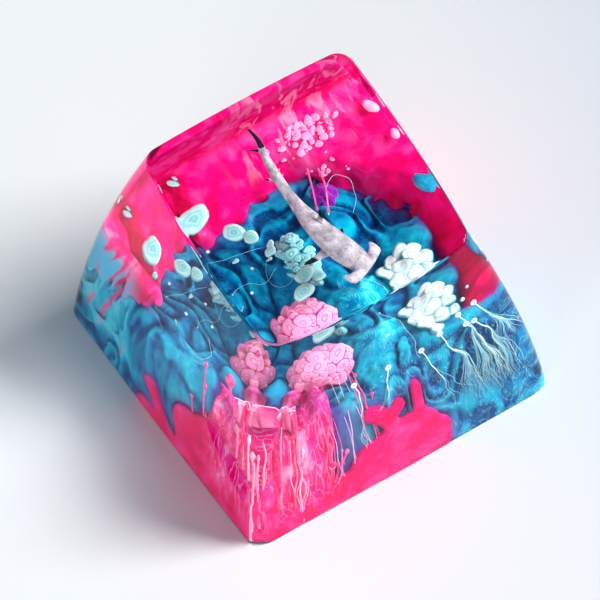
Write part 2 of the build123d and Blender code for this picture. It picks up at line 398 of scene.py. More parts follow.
def reach(z, spot, axis, across):
    """How far out one bowed side of the resin is at a height and a place along the side."""
    rings = (base_ring, waist_ring, top_ring)
    middle = through(z, [ring[spot, 2] for ring in rings], [abs(ring[spot, axis]) for ring in rings])
    bow = through(z, (0, top_height / 2, top_height), (base_bow, waist_bow, top_bow))
    return middle - bow * (across / middle) ** 2


def wall_gap(points):
    """The distance of points inside the front wall, and inside the left wall."""
    x, y, z = points.T
    return reach(z, front_middle, 1, x) + y, reach(z, right_middle, 0, y) + x


def outer_walls(points):
    """The resin's outer walls, negative inside them."""
    x, y, z = points.T
    side = abs(x) - reach(z, right_middle, 0, y)
    front = -y - reach(z, front_middle, 1, x)
    back = y - reach(z, back_middle, 1, x) + back_skin - ink_skin
    return soft_max(side, np.maximum(front, back), room_corner)


def inner_limits(points):
    """The floor and the cavity's shell, which ink stays clear of, negative where ink may be."""
    x, y, z = points.T
    inner = base_side / 2 - mouth_wall - z * cavity_draft + cavity_skin
    cavity = np.maximum(np.maximum(abs(x), abs(y)) - inner, z - cavity_depth - cavity_skin)
    return np.maximum(floor_skin - z, -cavity)


# Teal ink: a bed over the cavity with mounds, folded like satin and cut off at the near corner
ink_step = 0.135
ink_low = (-9.4, -9.4, -0.2)
ink_high = (9.4, 9.4, 15.6)
bed_top = 6.45

# Mounds of the teal bed: x, y, rise and radius
teal_mounds = (
    (-4.6, 0.8, 1.0, 2.4),
    (2.0, 1.0, 1.3, 2.3),
    (0.5, -3.4, 1.2, 2.2),
    (5.4, -2.4, 0.9, 2.0),
    (-0.6, -0.4, 1.1, 1.6),
    (-5.5, -3.0, 0.7, 1.8),
)

# Edge of the teal bed at the walls, its folds, and the clear resin kept in front of it
shore_drop = 0.9
shore_width = 1.3
fold_depth = 0.42
fold_skin = 0.06
corner_recess = 0.5
plume_recess = 0.3
curtain_line = -12.8


def folds(points):
    """Satin folds of the teal ink, from -1 in a valley to 1 on a ridge."""
    bent = warped(points / (1, 1, 1.9), 2.6, 1.4, 21)
    broad = noise(bent, 1.9, 24)
    fine = noise(bent, 0.7, 25)
    return np.sin(8.5 * broad + 1.4 * fine)


def bed_height(points):
    """The height of the teal bed below or above each point."""
    x, y, _ = points.T
    height = np.full(len(points), bed_top)
    for mound_x, mound_y, rise, radius in teal_mounds:
        height += rise * np.exp(-1.4 * ((x - mound_x) ** 2 + (y - mound_y) ** 2) / radius**2)
    front, left = wall_gap(points)
    return height - shore_drop * (1 - ramp(np.minimum(front, left), 0, shore_width))


def recess(points):
    """How much clear resin is left in front of the teal for strands and plumes."""
    x, y, z = points.T
    corner = corner_recess * ramp(x + y, -8.5, -11.0)
    plume = plume_recess * ramp(x, 2.0, 3.6) * ramp(y, -6.0, -7.5)
    return (corner + plume) * ramp(z, 0.6, 2.0)


def teal_field(points):
    x, y, z = points.T
    inset = recess(points)
    walls = outer_walls(points) + ink_skin + fold_skin + inset
    ink = soft_max(walls, z - bed_height(points), 0.5)
    near = abs(ink) < 1.5
    depth = fold_depth * ramp(z[near], 0.0, 1.2) * (1 - 1.4 * inset[near])
    ink[near] += depth * 0.5 * (1 - folds(points[near]))
    ink = soft_max(ink, 0.7 * (curtain_line + 0.3 - x - y), 0.3)
    return np.maximum(ink, inner_limits(points))


# Magenta ink: banks round the teal pool, lobes in two walls, a streaked edge, a near column and mounds
pool_x = -1.0
pool_y = -2.5
pool_r = 6.5
pool_flare = 0.5
bank_top = 8.3
bank_left = -4.6
bank_front = -5.0
bed_floor = 5.55
rear_bank_y = 3.5
rear_rise = 1.5

# Lobes in the front wall and in the left wall: two ends as place across and height, and radius
front_lobes = (
    ((-3.0, 0.3), (1.4, 0.3), 1.5),
    ((-1.4, 1.6), (1.0, 2.2), 1.5),
    ((-0.3, 3.6), (-0.9, 4.7), 0.42),
    ((-0.9, 4.7), (-1.4, 5.0), 0.42),
    ((-0.4, 4.3), (0.2, 4.7), 0.4),
    ((1.4, 2.5), (1.35, 5.3), 0.3),
    ((2.1, 0.8), (2.2, 1.4), 0.9),
    ((-4.8, 0.1), (-4.2, 0.5), 0.8),
)
left_lobes = (
    ((-7.0, 2.0), (-4.6, 2.9), 2.3),
    ((-3.0, 1.2), (-2.4, 2.6), 1.5),
    ((-0.8, 0.2), (1.3, 2.5), 0.5),
    ((-6.0, 0.1), (1.6, 0.1), 0.8),
)
lobe_depth = 1.3

# Streaked edge, near column and rear sheet of magenta ink
streak_front = 2.4
streak_height = 7.0
streak_slope = -0.25
streak_reach = 3.4
column_x = -6.4
column_y = -6.6
column_r = 3.1
column_top = 6.8
column_gap = 0.5
sheet_thickness = 0.4
sheet_skin = 0.2

# Face of the near column: how far it steps outward, and the heights where the step starts and ends
curtain_steps = ((2.3, 7.2, 5.4), (3.2, 6.0, 0.8))

# Mounds of magenta ink: centre and half axes
mound_spots = (
    ((-2.85, -4.0, 6.6), (1.3, 1.2, 1.1)),
    ((3.5, 5.5, 7.6), (1.5, 1.2, 0.9)),
    ((-6.3, 6.9, 7.0), (2.1, 1.4, 1.5)),
)


def flutes(points):
    """Upright flutes of the near column."""
    bent = warped(points / (1, 1, 5.0), 1.6, 0.3, 31)
    return noise(bent, 0.45, 34)


def lobe_group(across, z, gap, lobes):
    """Round-ended lobes that lie in one wall."""
    flat = np.stack([across, z], 1)
    group = np.full(len(z), 9.0)
    for start, end, radius in lobes:
        group = soft_min(group, capsule(flat, start, end, radius), 0.35)
    return soft_max(group, gap - lobe_depth, 0.4)


def streaks(points):
    """Slanting streaks at the rear of the left wall, from -1 to 1."""
    x, y, z = warped(points, 1.8, 0.4, 44).T
    along = 0.4 * y - 0.92 * z
    across = 0.92 * y + 0.4 * z
    broad = noise(np.stack([0.5 * x, 0.3 * along, 1.9 * across], 1), 1.0, 45)
    return 0.7 * broad + 0.5 * noise(np.stack([0.5 * x, 0.45 * along, 4.2 * across], 1), 1.0, 49)


def streaked_edge(points, gap):
    """Ink over the rear of the left wall, down to an edge of slanting streaks."""
    _, y, z = points.T
    ragged = streak_reach * streaks(points)
    edge = streak_height + streak_slope * (y - streak_front) + ragged - z
    slanted = streak_front + 0.6 * (bank_top - z) - y + 1.2 * noise(points, 1.3, 40)
    sheet = np.maximum(np.maximum(0.3 * edge, slanted), z - bank_top - 0.4)
    return soft_max(sheet, gap - lobe_depth, 0.4)


def magenta_field(points):
    x, y, z = points.T
    wander = 0.5 * noise(points, 2.2, 41) + 0.25 * noise(points, 0.9, 42)
    rim = pool_r + pool_flare * (z - bed_floor) + wander
    pool = rim - np.hypot(x - pool_x, y - pool_y)
    banks = np.maximum(pool, np.maximum(bank_left + wander - x, bank_front + wander - y))
    low_right = np.minimum(rear_bank_y + 1.6 * wander - y, bed_floor + 1.2 * wander - z)
    rise = rear_rise * ramp(y, 4.5, 8.0)
    banks = soft_max(soft_max(banks, low_right, 0.5), z - bank_top - rise - 0.4 * wander, 0.8)
    front, left = wall_gap(points)
    lobes = np.minimum(lobe_group(x, z, front, front_lobes), lobe_group(y, z, left, left_lobes))
    lobes = np.minimum(lobes, streaked_edge(points, left))
    column = np.hypot(x - column_x, y - column_y) - column_r
    near = abs(column) < 1.5
    column[near] -= 0.25 * flutes(points[near])
    crest = column_top + 0.7 * noise(points * (1, 1, 0), 0.8, 43)
    walls = outer_walls(points) + ink_skin
    column = soft_max(column, walls + column_gap * ramp(z, 0.6, 2.4) - 0.1 * flutes(points), 0.3)
    face = curtain_line
    for step, high, low in curtain_steps:
        face = face - step * ramp(z, high, low)
    corner_cut = 0.7 * (face - x - y) - 0.12 * flutes(points)
    column = soft_max(soft_max(column, z - crest, 0.5), corner_cut, 0.3)
    ink = soft_min(soft_min(banks, lobes, 0.3), column, 0.5)
    gap = reach(z, back_middle, 1, x) - y
    tilt = math.radians(top_tilt)
    dish_y = top_shift - math.sin(tilt) * (dish_r - dish_depth)
    dish_z = top_height + math.cos(tilt) * (dish_r - dish_depth)
    below_dish = np.sqrt(x**2 + (y - dish_y) ** 2 + (z - dish_z) ** 2) - dish_r
    sheet = np.maximum(gap - sheet_thickness, bed_floor - z)
    ink = soft_min(ink, soft_max(sheet, sheet_skin - below_dish, 0.1), 0.3)
    for centre, radii in mound_spots:
        ink = soft_min(ink, ellipsoid(points, centre, radii), 0.5)
    return np.maximum(np.maximum(ink, walls), inner_limits(points))


class Look:
    """A material whose colour is built up from noises, numbers stored in the mesh, and tints."""

    def __init__(self, name):
        self.material = bpy.data.materials.new(name)
        self.material.use_nodes = True
        self.tree = self.material.node_tree
        self.shader = self.tree.nodes["Principled BSDF"]
        spot = self.node("ShaderNodeTexCoord").outputs["Object"]
        scale = self.node("ShaderNodeVectorMath")
        scale.operation = "SCALE"
        self.feed(scale, {0: spot, "Scale": 1 / MM})
        self.place = scale.outputs[0]

    def feed(self, node, inputs):
        """Inputs of a node, each linked to an output or set to a value."""
        for name, value in inputs.items():
            socket = node.inputs[name]
            if isinstance(value, bpy.types.NodeSocket):
                self.tree.links.new(value, socket)
            else:
                socket.default_value = (*value, 1) if socket.type == "RGBA" else value

    def node(self, kind, inputs=None):
        node = self.tree.nodes.new(kind)
        self.feed(node, inputs or {})
        return node

    def stretched(self, factors):
        """Coordinates of the part in millimetres, multiplied along each axis."""
        node = self.node("ShaderNodeVectorMath", {0: self.place, 1: factors})
        node.operation = "MULTIPLY"
        return node.outputs[0]

    def grain(self, scale, detail=2.0, distortion=0.0, place=None):
        """Noise with so many features to a millimetre."""
        inputs = {"Vector": place or self.place, "Scale": scale, "Detail": detail, "Distortion": distortion}
        return self.node("ShaderNodeTexNoise", inputs).outputs["Fac"]

    def mark(self, name):
        """A number stored at each point of the mesh."""
        node = self.node("ShaderNodeAttribute")
        node.attribute_name = name
        return node.outputs["Fac"]

    def sums(self, operation, a, b=0.0):
        """Two values put together."""
        node = self.node("ShaderNodeMath", {0: a, 1: b})
        node.operation = operation
        return node.outputs[0]

    def times(self, a, b):
        return self.sums("MULTIPLY", a, b)

    def swayed(self, base, *parts):
        """A value with noises added to it, each about its middle and times its own weight."""
        for value, weight in parts:
            base = self.sums("ADD", base, self.times(self.sums("SUBTRACT", value, 0.5), weight))
        return base

    def step(self, value, start, end):
        """A smooth step from 0 at start to 1 at end."""
        node = self.node("ShaderNodeMapRange", {"Value": value, "From Min": start, "From Max": end})
        node.interpolation_type = "SMOOTHSTEP"
        return node.outputs["Result"]

    def contours(self, value, *lines):
        """1 on contour lines of a value, given by level and half width, falling to 0 at their edges."""
        drawn = []
        for level, half_width in lines:
            away = self.sums("ABSOLUTE", self.sums("SUBTRACT", value, level))
            drawn.append(self.step(away, half_width, 0.0))
        return self.sums("MAXIMUM", *drawn) if len(drawn) > 1 else drawn[0]

    def tint(self, value, stops):
        """A colour for each value, from stops of place and colour."""
        node = self.node("ShaderNodeValToRGB", {"Fac": value})
        while len(node.color_ramp.elements) < len(stops):
            node.color_ramp.elements.new(1.0)
        for element, (spot, colour) in zip(node.color_ramp.elements, stops):
            element.position = spot
            element.color = (*colour, 1)
        return node.outputs["Color"]

    def mixed(self, share, under, over):
        """One colour laid over another by a share."""
        node = self.node("ShaderNodeMix")
        node.data_type = "RGBA"
        self.feed(node, {0: share, 6: under, 7: over})
        return node.outputs[2]

    def paint(self, colour, roughness=0.7):
        """The material in a colour, with no shine of its own."""
        self.feed(self.shader, {"Base Color": colour, "Roughness": roughness, "Specular IOR Level": 0.0})
        return self.material


def resin_material():
    look = Look("clear_resin")
    polish = look.node("ShaderNodeMapRange", {"Value": look.grain(0.6), "To Min": 0.0, "To Max": 0.012})
    finish = {
        "Base Color": (1, 1, 1),
        "IOR": 1.5,
        "Transmission Weight": 1.0,
        "Specular Tint": (0.4, 0.4, 0.4),
        "Roughness": polish.outputs["Result"],
    }
    look.feed(look.shader, finish)
    clear = look.node("ShaderNodeBsdfTransparent")
    shadow = look.node("ShaderNodeLightPath").outputs["Is Shadow Ray"]
    either = look.node("ShaderNodeMixShader", {"Fac": shadow, 1: look.shader.outputs[0], 2: clear.outputs[0]})
    look.feed(look.tree.nodes["Material Output"], {"Surface": either.outputs[0]})
    return look.material


# Colours of the inks
navy = (0.0, 0.012, 0.085)
deep_teal = (0.0, 0.075, 0.23)
teal = (0.0, 0.23, 0.43)
cyan = (0.0, 0.45, 0.6)
pale_cyan = (0.08, 0.62, 0.72)
thread_cyan = (0.3, 0.78, 0.84)
# Painted light: the cyan of the streaks is made brighter than the cyan ink, to stand in for light that the
# shaded rear of the left wall lacks.
streak_cyan_painted_lighter = (0.02, 0.6, 0.82)
violet = (0.13, 0.012, 0.3)
dark_crimson = (0.3, 0.0, 0.03)
crimson = (0.68, 0.0, 0.07)
hot_pink = (0.88, 0.002, 0.17)
pink = (0.93, 0.06, 0.31)
pale_pink = (1.0, 0.5, 0.7)
vein_pink = (1.0, 0.5, 0.72)


def teal_material():
    """Teal ink, marbled along its fall, with pale threads and a violet edge where it meets magenta."""
    look = Look("teal_ink")
    flow = look.stretched((1, 1, 0.42))
    marble = look.grain(0.5, 4.0, 2.4, flow)
    fine = look.grain(1.7, 3.0, 1.4, flow)
    tone = look.swayed(look.mark("tone"), (marble, 0.9), (fine, 0.35))
    stops = ((0.0, navy), (0.3, deep_teal), (0.52, teal), (0.8, cyan), (1.0, pale_cyan))
    lines = look.contours(look.grain(0.75, 2.0, 2.6, flow), (0.5, 0.022), (0.6, 0.016))
    thread = look.times(look.times(lines, look.mark("wisp")), 0.5)
    veined = look.mixed(thread, look.tint(tone, stops), thread_cyan)
    edged = look.mixed(look.mark("meet"), veined, violet)
    return look.paint(look.mixed(look.mark("streak"), edged, pink))


def magenta_material():
    """Magenta ink, clouded from crimson to pale pink, with pale streaks."""
    look = Look("magenta_ink")
    cloud = look.grain(0.45, 4.0, 1.6)
    fine = look.grain(1.3, 3.0, 0.8)
    tone = look.swayed(look.mark("tone"), (cloud, 0.75), (fine, 0.3))
    stops = ((0.0, dark_crimson), (0.3, crimson), (0.55, hot_pink), (0.8, pink), (1.0, pale_pink))
    strand = look.grain(2.6, place=look.stretched((1, 1, 0.04)))
    upright = look.times(look.contours(strand, (0.52, 0.05)), look.mark("column"))
    haze = look.grain(0.9, 3.0, 0.8, look.stretched((1.3, 0.3, 0.4)))
    lying = look.times(look.contours(haze, (0.64, 0.12)), look.mark("rear"))
    pale = look.times(look.sums("MAXIMUM", upright, lying), 0.42)
    veined = look.mixed(pale, look.tint(tone, stops), vein_pink)
    deep = look.mixed(look.mark("pocket"), veined, violet)
    # The streaks take the cyan that is painted lighter, as painted light.
    return look.paint(look.mixed(look.mark("streak"), deep, streak_cyan_painted_lighter))


def marked_material(name, kind, scale, weight, stops):
    """Ink with a colour for the number stored at each point, clouded by noise."""
    look = Look(name)
    tone = look.swayed(look.mark(kind), (look.grain(scale), weight))
    return look.paint(look.tint(tone, stops))


def floor_material():
    """Pale paper, painted a little darker towards the right and the front as painted shade."""
    look = Look("floor")
    parts = look.node("ShaderNodeSeparateXYZ", {0: look.place}).outputs
    painted_falloff = look.sums("ADD", look.times(parts["Y"], 0.0083), look.times(parts["X"], -0.03))
    shade = look.swayed(look.sums("ADD", painted_falloff, 0.78), (look.grain(0.02), 0.1))
    # Painted shade: the low stops give the right and the front a darker blue-grey.
    stops = ((0.0, (0.76, 0.8, 0.85)), (0.45, (0.92, 0.94, 0.95)), (1.0, (0.97, 0.985, 0.99)))
    return look.paint(look.tint(shade, stops), 0.9)


def put(piece, slot, *nodes):
    """A piece that moves with the part and may stand for nodes, which it hides; its slot is not used."""
    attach(piece, "root")
    if nodes:
        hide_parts(*nodes)


def set_marks(piece, **marks):
    """Numbers stored at each point of a piece's mesh, kept from 0 to 1."""
    for name, values in marks.items():
        layer = piece.data.attributes.new(name, "FLOAT", "POINT")
        layer.data.foreach_set("value", np.clip(values, 0, 1).astype(np.float32))


put(mesh_object("resin_shell", *skin(*resin_rings()), resin_material()), "clear_resin", "resin_body")


# Middle of a painted sheen, a bright patch of painted light on the teal bed, and its spread
sheen_x = 0.8
sheen_y = -4.0
sheen_spread = 2.2


def streak_zone(points):
    """Where the two inks run into each other in slanting streaks, from 0 to 1."""
    _, y, z = points.T
    left = wall_gap(points)[1]
    return ramp(left, 1.6, 0.8) * ramp(y, 2.6, 5.0) * ramp(z, 1.0, 3.0) * ramp(z, 9.5, 7.5)


def add_teal():
    points, faces = field_mesh(teal_field, ink_low, ink_high, ink_step)
    piece = mesh_object("teal_folds", points, faces, teal_material())
    x, y, z = points.T
    front, left = wall_gap(points)
    wall_share = ramp(np.minimum(front, left), 1.6, 0.4)
    painted_sheen = np.exp(-((x - sheen_x) ** 2 + (y - sheen_y) ** 2) / sheen_spread) * ramp(z, 5.5, 7.0)
    # Painted light and shade: the teal's tone is raised on the walls, most on the left one, and at the
    # painted sheen on the bed, and lowered on the right of the bed and by the front wall on the right.
    light = 0.02 * x - 0.04 * y + 0.3 * wall_share * ramp(x, 3.0, -4.0) + 0.1 * wall_share + 0.35 * painted_sheen
    light = light - 0.5 * ramp(x, 2.0, 5.0) * ramp(y, -3.0, 0.0)
    light = light - 0.48 * ramp(front, 2.5, 1.0) * ramp(x, -1.0, 3.0)
    zone = streak_zone(points)
    gap = abs(magenta_field(points))
    nook = ramp(x, -5.5, -4.6) * ramp(x, -1.2, -2.6) * ramp(front, 2.0, 1.0) * ramp(z, 7.0, 5.5)
    set_marks(
        piece,
        # Painted light: the teal is also painted lighter across the streak zone at the rear of the left wall,
        # which lies in shade.
        tone=0.44 + 0.2 * folds(points) + 0.4 * light + 0.55 * zone,
        wisp=0.15 + 0.7 * np.maximum(painted_sheen, ramp(front, 3.5, 1.0) * ramp(x, -3.0, 0.0)),
        meet=np.maximum(0.85 * np.exp(-gap / 0.25) * (1 - 0.8 * zone), 0.95 * nook * np.exp(-gap / 1.5)),
        streak=0.9 * zone * ramp(streaks(points), 0.1, 0.35),
    )
    put(piece, "teal_ink", "teal_ink")


def add_magenta():
    points, faces = field_mesh(magenta_field, ink_low, ink_high, ink_step)
    piece = mesh_object("magenta_banks", points, faces, magenta_material())
    x, y, z = points.T
    column = ramp(np.hypot(x - column_x, y - column_y), column_r + 0.8, column_r - 0.4) * ramp(z, 0.3, 2.5)
    # Painted shade: the magenta is painted darker towards the right wall, most towards the front, where
    # little light reaches.
    right = ramp(x, 4.5, 6.5) * ramp(-y, -3.0, 1.0)
    tone = 0.57 + 0.12 * noise(points, 1.6, 51) + 0.08 * noise(points, 0.7, 52)
    set_marks(
        piece,
        # Painted shade: the tone is lowered by the right-wall mask.
        tone=tone + column * (0.14 * flutes(points) + 0.1) - 0.24 * right,
        column=column,
        rear=ramp(y, 3.5, 5.5) * ramp(z, 7.0, 8.0) * ramp(x, -2.0, 1.5),
        pocket=column * ramp(z, 5.8, 7.2) * 0.4,
        streak=0.9 * streak_zone(points) * ramp(streaks(points), 0.0, -0.25),
    )
    put(piece, "magenta_ink", "magenta_ink")


add_teal()
add_magenta()


def smooth_path(stops, count):
    """Evenly numbered points on a smooth curve through given stops, with any further columns."""
    stops = np.asarray(stops, float)
    ends = np.concatenate([[2 * stops[0] - stops[1]], stops, [2 * stops[-1] - stops[-2]]])
    where = np.linspace(0, len(stops) - 1, count)
    cell = np.minimum(where.astype(int), len(stops) - 2)
    t = (where - cell)[:, None]
    a, b, c, d = (ends[cell + k] for k in range(4))
    return 0.5 * (2 * b + (c - a) * t + (2 * a - 5 * b + 4 * c - d) * t**2 + (3 * b - a - 3 * c + d) * t**3)


def tube(path, radii, sides=8):
    """Points and faces of a closed round tube along a path."""
    path = np.asarray(path, float)
    ahead = unit(np.gradient(path, axis=0))
    side = np.cross(ahead[0], (0.37, 0.61, 0.7))
    rings = []
    turn = np.linspace(0, 2 * math.pi, sides, endpoint=False)
    for spot, forward, radius in zip(path, ahead, radii):
        side = side - forward * (side @ forward)
        side = side / np.linalg.norm(side)
        up = np.cross(forward, side)
        rings.append(spot + radius * (np.outer(np.cos(turn), side) - np.outer(np.sin(turn), up)))
    return skin(path[0] - ahead[0] * radii[0] * 0.5, rings, path[-1] + ahead[-1] * radii[-1] * 0.5)


def bundle(parts):
    """Several points-and-faces pairs as one."""
    points = []
    faces = []
    total = 0
    for part_points, part_faces in parts:
        points.append(np.asarray(part_points))
        faces += [tuple(corner + total for corner in face) for face in part_faces]
        total += len(part_points)
    return np.concatenate(points), faces


def bulbed(share, slim, bulb, length):
    """Radii along a strand with a round bulb at its end, for shares of its length."""
    from_end = (1 - share) * length
    ball = np.sqrt(np.maximum(bulb**2 - (from_end - bulb) ** 2, 0.0))
    return np.maximum(ball, slim * (1 + 0.5 * (1 - share)))


def oval(spot, first, second, angles):
    """A closed ring round a spot, from two half axes."""
    return spot + np.outer(np.cos(angles), first) + np.outer(np.sin(angles), second)


def on_wall(wall, across, z, depth):
    """Points at a depth inside the front or the left wall."""
    if wall == "front":
        return np.stack([across, depth - reach(z, front_middle, 1, across), z], 1)
    return np.stack([depth - reach(z, right_middle, 0, across), across, z], 1)


def tops(field, plan, low, high):
    """The height of a field's upper surface at each place of a plan."""
    ladder = np.linspace(low, high, 120)
    points = np.array([(x, y, z) for x, y in plan for z in ladder], np.float32)
    inside = field(points).reshape(len(plan), -1) < 0
    return ladder[len(ladder) - 1 - inside[:, ::-1].argmax(axis=1)]


# Pink strands: rise in both walls beside the near corner, with round heads, and hang from the cells
strand_count = 26
strand_spread = 6.6
strand_top = 8.0
strand_points = 24
corner_gap = 0.5
strand_slope = 0.5
strand_sway = 0.22
strand_radii = (0.02, 0.032, 0.046, 0.065)
strand_bulbs = (1.9, 3.6)
hanging_count = 10
hanging_ring = (1.4, 1.3)
hanging_edge = (-6.6, 6.6)
hanging_radii = (0.012, 0.024)
stalk_points = 40
stalk_tone = 0.45
strand_stops = ((0.3, hot_pink), (0.55, (1.0, 0.16, 0.42)), (0.8, (1.0, 0.45, 0.66)), (1.0, (1.0, 0.7, 0.84)))

# Domes of pink, mint and violet cells: centre and half axes
pink_dome = ((-2.75, -3.95, 7.0), (1.6, 1.4, 1.25))
mint_dome = ((-0.75, -0.2, 7.0), (0.8, 1.6, 1.0))
violet_dome = ((2.45, 2.25, 7.7), (0.55, 0.6, 0.5))

# Stalks apart: points from foot to head, with the radii of the stalk and of its head
lone_stalks = (
    ((-8.2, -6.4, 2.6), (-7.5, -5.4, 5.6), (-6.9, -4.3, 8.75), 0.1, 0.36),
    ((-8.35, -3.6, 3.6), (-8.0, -3.1, 6.0), (-7.45, -2.7, 8.2), 0.05, 0.16),
    ((-8.45, -3.9, 3.2), (-8.2, -3.3, 5.2), (-7.8, -3.0, 6.9), 0.06, 0.17),
    ((-8.6, -2.9, 2.8), (-8.4, -2.5, 4.2), (-8.2, -2.2, 5.3), 0.05, 0.15),
    ((-2.3, -8.2, 1.5), (-2.0, -7.6, 5.0), (-1.7, -6.9, 7.9), 0.03, 0.13),
    ((-1.3, -8.2, 2.0), (-1.2, -7.8, 4.0), (-1.0, -7.4, 6.2), 0.03, 0.12),
    ((2.9, 3.6, 8.2), (2.6, 2.4, 8.35), (1.9, 1.0, 8.1), 0.05, 0.1),
    ((2.4, 3.9, 8.2), (2.0, 2.8, 8.3), (1.5, 1.5, 8.0), 0.04, 0.08),
)


def wall_strand(rng, wall):
    """One wavy strand in a wall, with its radii."""
    share = np.linspace(0, 1, strand_points)
    offset = corner_gap + strand_spread * rng.beta(1.0, 1.9)
    top = (strand_top - strand_slope * offset) * rng.uniform(0.5, 1.0)
    low = top * rng.uniform(0.0, 0.35)
    z = low + 0.1 + (top - low) * share
    other = right_middle if wall == "front" else front_middle
    corner = -reach(z, other, 0 if wall == "front" else 1, 0)
    sway = strand_sway * noise(np.stack([np.full_like(z, 3 * offset), z, np.zeros_like(z)], 1), 1.2, 46)
    across = corner + np.maximum(offset + sway, corner_gap)
    depth = rng.uniform(0.1, 0.45) + rng.uniform(0.0, 0.25) * share
    slim = rng.choice(strand_radii)
    radii = bulbed(share, slim, slim * rng.uniform(*strand_bulbs), top - low)
    return on_wall(wall, across, z, depth), radii


def hanging_strand(rng):
    """One strand from under the pink cells down into the front wall, with its radii."""
    angle = rng.uniform(-2.7, -0.5)
    middle_x, middle_y, _ = pink_dome[0]
    top_x = middle_x + hanging_ring[0] * math.cos(angle)
    top = (top_x, middle_y + hanging_ring[1] * math.sin(angle), rng.uniform(7.0, 7.7))
    x = top_x + rng.normal(0, 0.45)
    z = np.array([5.2, rng.uniform(1.2, 3.6)])
    low = on_wall("front", np.array([0.5 * (x + top_x), x]), z, rng.uniform(0.2, 0.5))
    over = ((top_x + low[0][0]) / 2, *hanging_edge)
    path = warped(smooth_path([top, over, *low], strand_points), 1.1, 0.14, 50)
    slim = rng.uniform(*hanging_radii)
    return path, bulbed(np.linspace(1, 0, strand_points), slim, slim, 5.0)


def add_strands():
    rng = np.random.default_rng(9)
    made = [wall_strand(rng, wall) for wall in ("front", "left") for _ in range(strand_count)]
    made += [hanging_strand(rng) for _ in range(hanging_count)]
    share = np.linspace(0, 1, stalk_points)
    for foot, middle, head, slim, bulb in lone_stalks:
        radii = bulbed(share, slim, bulb, np.linalg.norm(np.subtract(head, foot)))
        made.append((smooth_path([foot, middle, head], stalk_points), radii))
    parts = [tube(path, radii) for path, radii in made]
    tones = rng.uniform(0.35, 1.0, len(parts))
    tones[-len(lone_stalks) :] = stalk_tone
    piece = mesh_object("pink_strands", *bundle(parts), strand_material())
    set_marks(piece, tone=np.repeat(tones, [len(points) for points, _ in parts]))
    put(piece, "magenta_ink")


def strand_material():
    return marked_material("pink_strands", "tone", 3.0, 0.4, strand_stops)


# Pink veil: a thin fluted sheet across the near column, with a scalloped pale lip
veil_plan = ((-7.65, -5.45), (-7.15, -6.05), (-6.6, -6.6), (-6.05, -7.15), (-5.45, -7.65))
veil_foot = 3.0
veil_top = 8.0
veil_scallop = 0.18
veil_scallops = 4
veil_half = 0.04
veil_skin = 0.25
veil_lip_r = 0.03
veil_flare = 0.25
veil_sway = 0.14
veil_ragged = 0.1
veil_columns = 120
veil_rows = 24


def add_veil():
    along = np.linspace(0, 1, veil_columns)
    still = np.zeros(veil_columns)
    sway = [noise(np.stack([9 * along, still + seed, still], 1), 0.5, 47) for seed in (1, 5)]
    plan = smooth_path(veil_plan, veil_columns) + veil_sway * np.stack(sway, 1)
    ahead = unit(np.gradient(plan, axis=0))
    across = np.stack([-ahead[:, 1], ahead[:, 0]], 1)
    top = veil_top + veil_scallop * abs(np.cos(math.pi * veil_scallops * along)) ** 1.5
    top = top + veil_ragged * noise(np.stack([8 * along, still, still], 1), 1.0, 48)
    rise = np.linspace(0, 1, veil_rows)
    rings = []
    for (x, y), (out_x, out_y), height in zip(plan, across, top):
        z = veil_foot + (height - veil_foot) * rise
        flare = veil_flare * rise**3
        left_limit = veil_skin - reach(z, right_middle, 0, 0)
        front_limit = veil_skin - reach(z, front_middle, 1, 0)
        sheet_x = np.maximum(x + out_x * flare, left_limit)
        sheet = np.stack([sheet_x, np.maximum(y + out_y * flare, front_limit), z], 1)
        half = np.array([out_x, out_y, 0]) * veil_half
        rings.append(np.concatenate([sheet + half, (sheet - half)[::-1]]))
    body = skin(rings[0].mean(axis=0), rings, rings[-1].mean(axis=0))
    lip_path = np.array([ring[veil_rows - 1 : veil_rows + 1].mean(axis=0) for ring in rings])
    lip = tube(lip_path, np.full(veil_columns, veil_lip_r))
    tones = [0.52 + 0.3 * noise(body[0] * (1, 1, 0.12), 0.3, 49), np.full(len(lip[0]), 0.95)]
    piece = mesh_object("pink_veil", *bundle([body, lip]), strand_material())
    set_marks(piece, tone=np.concatenate(tones))
    put(piece, "magenta_ink")


# Flat cells with a rounded edge
cell_sides = 22
cell_rings = 12
cell_warp = 0.09
cell_wobbles = (0.09, 0.07)
cell_edge = 0.6
dome_tries = 60
cell_lean = (-0.3, -0.5, 0.8)


def cell(centre, facing, first, second, half, turn=0.0):
    """One flat cell, with the share of the way from its middle to its rim at each point."""
    facing = unit(np.asarray(facing, float))
    side = unit(np.cross(facing, (0.3, 0.9, 0.1)))
    other = np.cross(facing, side)
    angle = math.radians(turn)
    u = (side * math.cos(angle) + other * math.sin(angle)) * first
    v = (other * math.cos(angle) - side * math.sin(angle)) * second
    turns = np.linspace(0, 2 * math.pi, cell_sides, endpoint=False)
    broad, fine = cell_wobbles
    wobble = 1 + broad * np.sin(2 * turns + turn) + fine * np.sin(3 * turns + 2 * turn)
    flat = np.outer(np.cos(turns) * wobble, u) + np.outer(np.sin(turns) * wobble, v)
    tilts = np.linspace(0.1, math.pi - 0.1, cell_rings)
    outs = np.sin(tilts) ** cell_edge
    rings = [centre + facing * half * math.cos(tilt) + flat * out for tilt, out in zip(tilts, outs)]
    shares = np.concatenate([[0], np.repeat(outs, cell_sides), [0]])
    return skin(centre + facing * half, rings, centre - facing * half), shares


